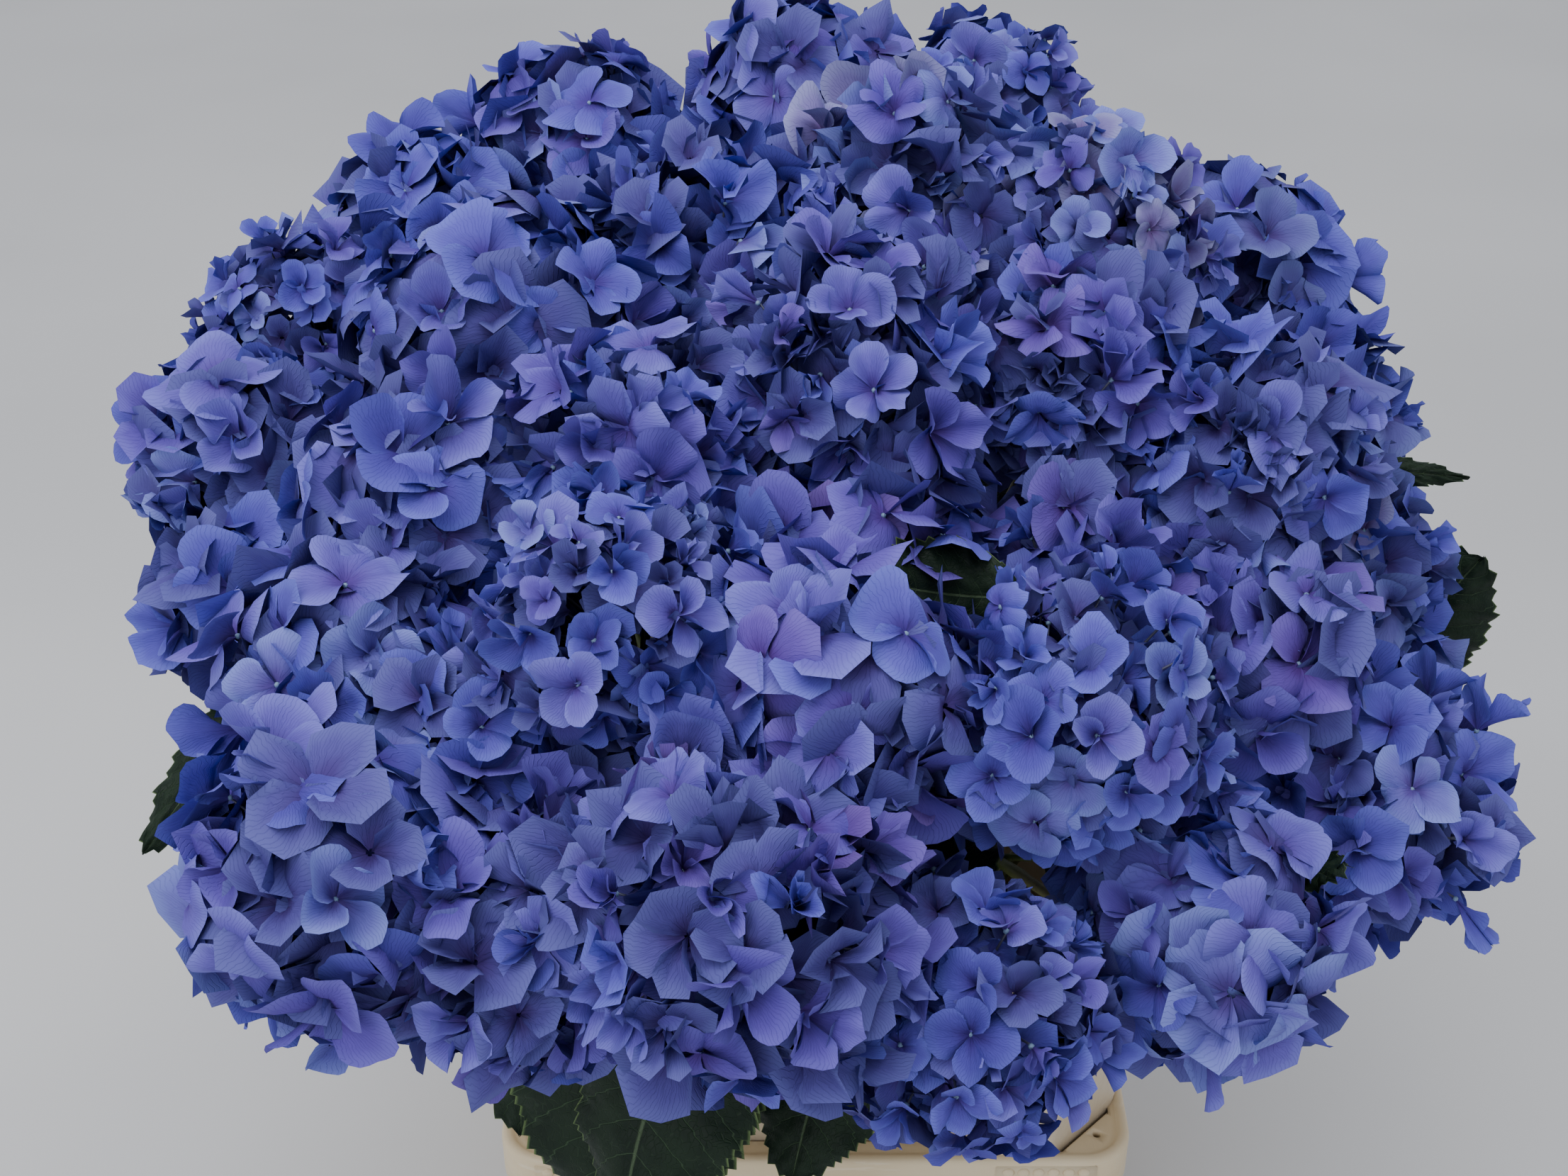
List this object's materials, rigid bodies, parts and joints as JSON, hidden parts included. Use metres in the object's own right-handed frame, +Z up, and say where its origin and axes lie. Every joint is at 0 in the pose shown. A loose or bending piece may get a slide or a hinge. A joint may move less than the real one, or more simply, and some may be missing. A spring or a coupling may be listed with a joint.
{
  "type": "bunch of cut hydrangea stems in a flower bucket",
  "caption": "Dense domed bunch of blue mophead hydrangea blooms on cut stems, standing in a pale rectangular plastic flower bucket with a collar.",
  "frame": {"origin": "middle of the bucket's flat underside", "axes": "+Z up; X along the bucket's long side; the side that faces the viewer is -Y"},
  "size_m": [0.755, 0.8203, 0.8136],
  "materials": {
    "bucket": "warm cream moulded plastic, satin, a little scuffed",
    "collar": "greyish beige moulded plastic, satin, faint scratches",
    "greenery": "dark green leaves with pale veins and green woody stems",
    "sepals": "soft matte petals, periwinkle blue to violet with darker veins"
  },
  "bodies": {
    "root": {"bucket": "bucket", "collar": "collar", "stem_front_left": "greenery", "stem_front_in_left": "greenery", "stem_front_mid": "greenery", "stem_front_mid_right": "greenery", "stem_front_right": "greenery", "stem_right_low": "greenery", "stem_left_mid": "greenery", "stem_mid_left": "greenery", "stem_mid_centre": "greenery", "stem_mid_right": "greenery", "stem_top_mid_front": "greenery", "stem_inner_right": "greenery", "stem_left_up": "greenery", "stem_top_left": "greenery", "stem_top_mid_back": "greenery", "stem_right_up": "greenery", "stem_top_right": "greenery", "stem_back_left": "greenery", "stem_back_mid": "greenery", "stem_back_right": "greenery", "stem_rear_left": "greenery", "stem_rear_right": "greenery", "bloom_front_left": "sepals", "bloom_front_in_left": "sepals", "bloom_front_mid": "sepals", "bloom_front_mid_right": "sepals", "bloom_front_right": "sepals", "bloom_right_low": "sepals", "bloom_left_mid": "sepals", "bloom_mid_left": "sepals", "bloom_mid_centre": "sepals", "bloom_mid_right": "sepals", "bloom_right_in": "sepals", "bloom_left_low": "sepals", "bloom_inner_left": "sepals", "bloom_inner_mid": "sepals", "bloom_top_mid_front": "sepals", "bloom_inner_right": "sepals", "bloom_right_mid": "sepals", "bloom_left_up": "sepals", "bloom_left_top": "sepals", "bloom_top_left": "sepals", "bloom_top_mid_back": "sepals", "bloom_top_mid_right": "sepals", "bloom_filler": "sepals", "bloom_right_up": "sepals", "bloom_top_right": "sepals", "bloom_back_left_low": "sepals", "bloom_back_left": "sepals", "bloom_back_mid": "sepals", "bloom_back_right": "sepals", "bloom_deep_left": "sepals", "bloom_deep_mid": "sepals", "bloom_deep_right": "sepals", "bloom_deep_back": "sepals", "bloom_rear_left": "sepals", "bloom_rear_mid": "sepals", "bloom_rear_right": "sepals"}
  },
  "joints": []
}
